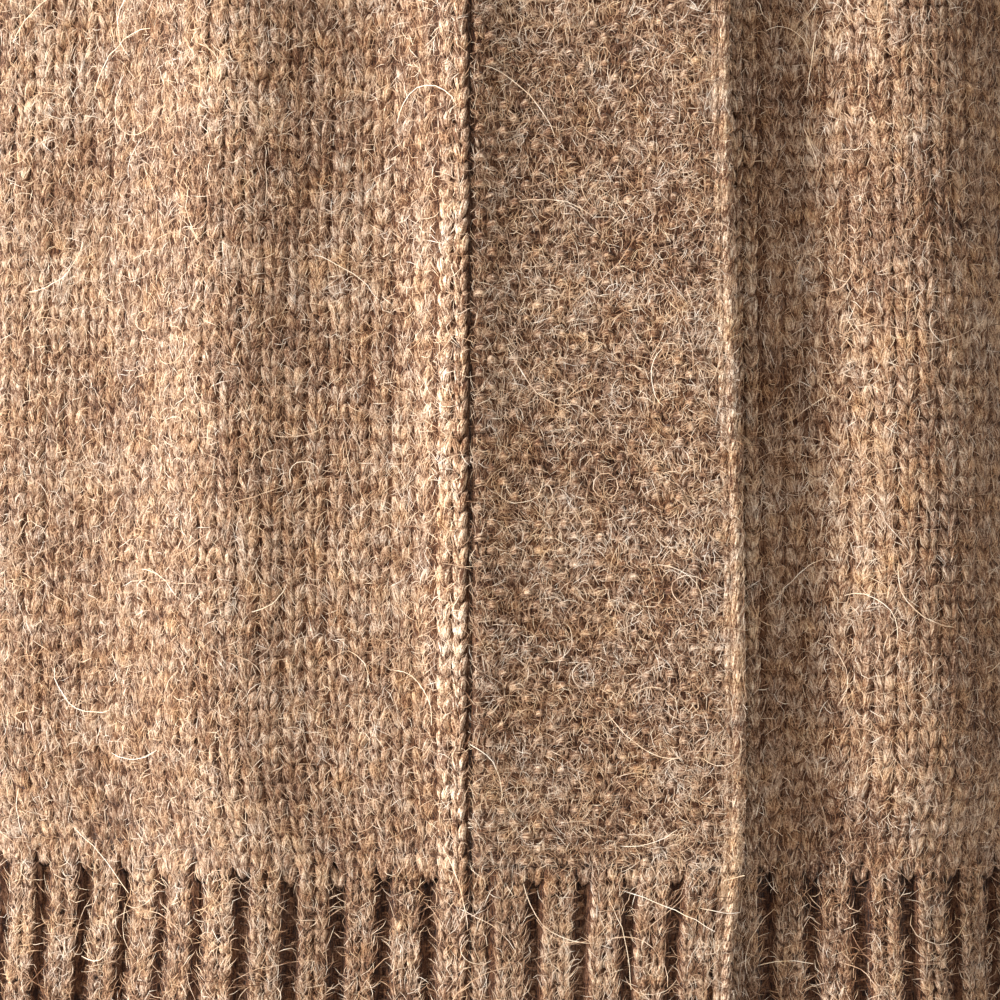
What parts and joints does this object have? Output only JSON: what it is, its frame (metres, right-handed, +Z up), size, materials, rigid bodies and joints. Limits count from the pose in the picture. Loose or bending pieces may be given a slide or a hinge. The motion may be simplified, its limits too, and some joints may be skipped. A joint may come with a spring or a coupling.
{
  "type": "sweater coat",
  "caption": "Long knitted open-front coat worn closed: straight front bands that run round the neck as a standing collar, drop sleeves, ribbed hem and cuffs, hollow as worn.",
  "frame": {"origin": "Middle of the line between the two neck points at the tops of the shoulder seams, where a wearer's shoulders carry the coat.", "axes": "+Z is up, toward the collar; the front faces -Y; +X is the wearer's left."},
  "size_m": [0.7228, 0.2858, 0.9782],
  "materials": {
    "plain_knit": "brushed camel wool, plain knit",
    "moss_knit": "brushed camel wool, moss stitch",
    "rib_knit": "brushed camel wool, two by two rib"
  },
  "bodies": {
    "root": {"front_right": "plain_knit", "front_left": "plain_knit", "back": "plain_knit", "sleeve_right": "plain_knit", "sleeve_left": "plain_knit", "band_right": "moss_knit", "band_left": "moss_knit", "collar": "moss_knit", "band_rib_right": "rib_knit", "band_rib_left": "rib_knit", "hem_right": "rib_knit", "hem_left": "rib_knit", "hem_back": "rib_knit", "cuff_right": "rib_knit", "cuff_left": "rib_knit"}
  },
  "joints": []
}
